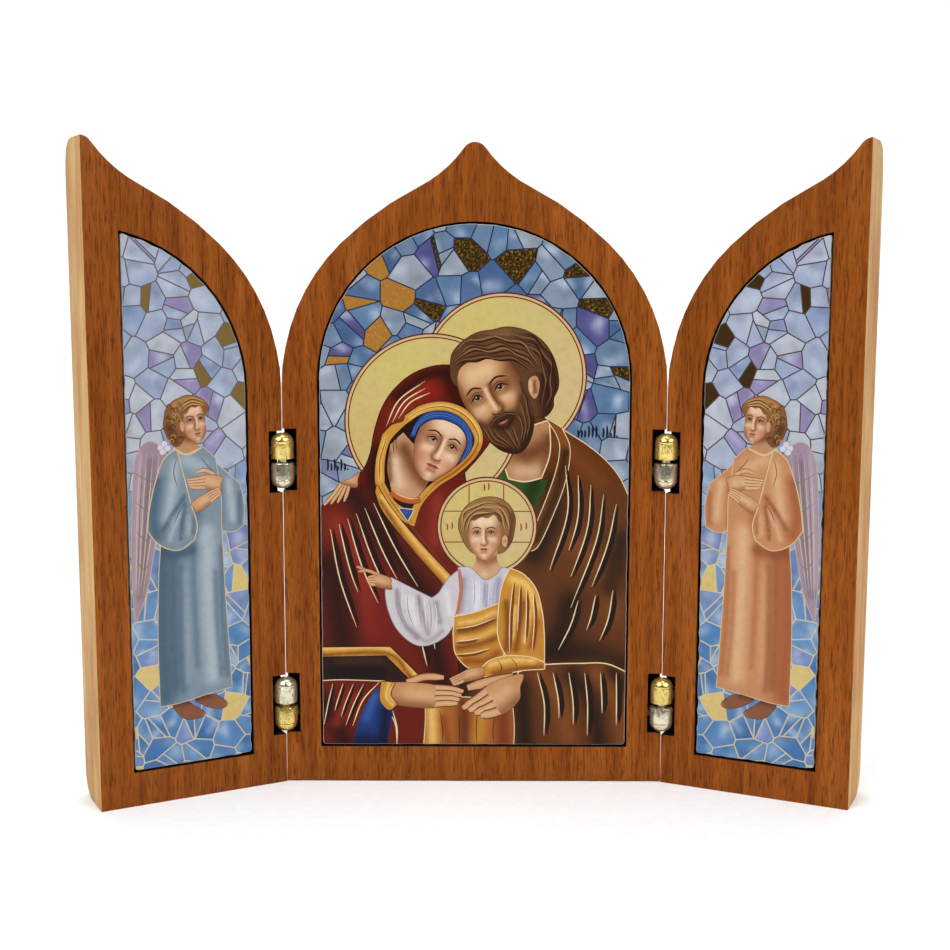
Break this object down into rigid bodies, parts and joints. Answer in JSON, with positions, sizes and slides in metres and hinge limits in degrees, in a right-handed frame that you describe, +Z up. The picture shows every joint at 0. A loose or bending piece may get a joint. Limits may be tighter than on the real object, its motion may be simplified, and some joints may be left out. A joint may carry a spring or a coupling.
{
  "type": "folding triptych icon",
  "caption": "Small wooden triptych with an ogee-arched middle board and two half-arch wings that close over it on brass barrel hinges.",
  "frame": {"origin": "middle of the footprint on the surface that the triptych stands on", "axes": "+Z up, -Y towards the viewer of the pictures, +X to that viewer's right"},
  "size_m": [0.1932, 0.0374, 0.1599],
  "materials": {
    "board": "satin lacquered reddish-brown veneer on pale wood",
    "picture": "glossy printed gilt foil",
    "hinge": "polished"
  },
  "bodies": {
    "centre": {"centre_panel": "board", "centre_picture": "picture", "left_upper_hinge_centre_knuckle": "hinge", "left_lower_hinge_centre_knuckle": "hinge", "right_upper_hinge_centre_knuckle": "hinge", "right_lower_hinge_centre_knuckle": "hinge"},
    "left_wing": {"left_wing_panel": "board", "left_picture": "picture", "left_upper_hinge_wing_knuckle": "hinge", "left_lower_hinge_wing_knuckle": "hinge"},
    "right_wing": {"right_wing_panel": "board", "right_picture": "picture", "right_upper_hinge_wing_knuckle": "hinge", "right_lower_hinge_wing_knuckle": "hinge"}
  },
  "joints": [
    {"name": "left_wing_hinge", "type": "hinge", "parent": "centre", "child": "left_wing", "pos_m": [-0.0475, 0.00354, 0], "axis": [0, 0, 1], "range_deg": [-28.2, 151.8]},
    {"name": "right_wing_hinge", "type": "hinge", "parent": "centre", "child": "right_wing", "pos_m": [0.0475, 0.00354, 0], "axis": [0, 0, -1], "range_deg": [-24.9, 155.1]}
  ]
}
